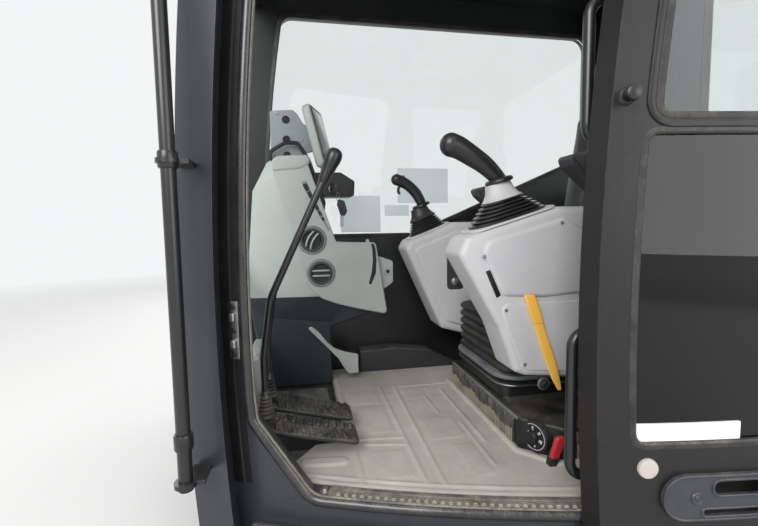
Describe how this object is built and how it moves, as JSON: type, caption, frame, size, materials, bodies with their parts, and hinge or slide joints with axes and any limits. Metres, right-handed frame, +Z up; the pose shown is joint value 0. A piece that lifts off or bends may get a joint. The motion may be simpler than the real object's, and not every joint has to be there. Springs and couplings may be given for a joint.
{
  "type": "excavator operator cab",
  "caption": "Operator cab of a crawler excavator: glazed steel cell, sliding convex side door standing open, sprung seat between side consoles with sticks, travel levers and pedals.",
  "frame": {"origin": "centre of the four cab mounting bolts, on the underside of the floor frame", "axes": "+X is the machine's front, +Y its left side with the door, +Z up"},
  "size_m": [1.6504, 1.1829, 1.7343],
  "materials": {
    "cab_paint": "dark grey semi-gloss cab paint",
    "door_paint": "dark grey semi-gloss door paint",
    "clear_glass": "clear safety glass",
    "tinted_glass": "dark tinted safety glass",
    "seal_rubber": "grey sponge rubber",
    "rail_steel": "worn zinc-plated steel",
    "mat_rubber": "dusty grey moulded rubber",
    "frame_black": "black powder coat",
    "seat_fabric": "black woven seat cloth",
    "console_light": "light grey grained plastic",
    "console_dark": "blue-grey grained plastic",
    "console_green": "pale green-grey grained plastic",
    "grip_plastic": "dark grey grip plastic",
    "pedal_rubber": "black ribbed rubber",
    "lever_yellow": "yellow paint",
    "release_red": "red plastic"
  },
  "bodies": {
    "cab": {"floor_frame": "cab_paint", "sill_left": "cab_paint", "roof_rail_left": "cab_paint", "b_pillar_left": "cab_paint", "rear_quarter_left": "cab_paint", "a_pillar_left": "cab_paint", "side_panel_right": "cab_paint", "a_pillar_right": "cab_paint", "window_frame_right": "cab_paint", "rear_quarter_right": "cab_paint", "rear_wall": "cab_paint", "front_beam": "cab_paint", "front_header": "cab_paint", "windscreen_bar": "cab_paint", "roof_panel": "cab_paint", "handrail": "cab_paint", "grab_rail_upper": "cab_paint", "grab_rail_lower": "cab_paint", "quarter_glass_left": "clear_glass", "right_glass": "clear_glass", "rear_glass": "clear_glass", "windscreen_upper": "clear_glass", "windscreen_lower": "clear_glass", "door_seal": "seal_rubber", "door_rail_upper": "rail_steel", "door_rail_lower": "rail_steel", "seat_rails": "rail_steel", "latch_striker": "rail_steel", "floor_mat": "mat_rubber", "seat_riser": "frame_black", "switch_box": "frame_black", "seat_release": "release_red", "rear_shelf": "console_dark", "front_console": "console_green", "monitor": "console_green", "travel_lever_left": "grip_plastic", "travel_lever_right": "grip_plastic", "vent_rings": "grip_plastic", "console_lead": "grip_plastic", "pedal_left": "pedal_rubber", "pedal_right": "pedal_rubber"},
    "door": {"door_frame": "door_paint", "door_glass_upper": "clear_glass", "door_glass_lower": "tinted_glass", "door_rollers": "rail_steel", "door_handle": "door_paint"},
    "seat": {"seat_suspension": "frame_black", "seat_cushion": "seat_fabric", "seat_frame": "frame_black", "console_brackets": "frame_black", "left_console": "console_light", "right_console": "console_dark", "armrests": "console_dark", "stick_left": "grip_plastic", "stick_right": "grip_plastic", "lock_lever": "lever_yellow"},
    "seatback": {"seat_back": "seat_fabric", "headrest": "seat_fabric"},
    "hatch": {"roof_hatch": "cab_paint"}
  },
  "joints": [
    {"name": "door_slide", "type": "hinge", "parent": "cab", "child": "door", "pos_m": [-0.72, -2.405, 0], "axis": [0, 0, -1], "range_deg": [0, 13.45]},
    {"name": "hatch_lift", "type": "hinge", "parent": "cab", "child": "hatch", "pos_m": [-0.106, 0, 1.7223], "axis": [0, -1, 0], "range_deg": [0, 75]},
    {"name": "seat_slide", "type": "slide", "parent": "cab", "child": "seat", "axis": [1, 0, 0], "range_m": [-0.08, 0.08]},
    {"name": "back_recline", "type": "hinge", "parent": "seat", "child": "seatback", "pos_m": [-0.5, 0.11, 0.52], "axis": [0, -1, 0], "range_deg": [-10, 8]}
  ]
}
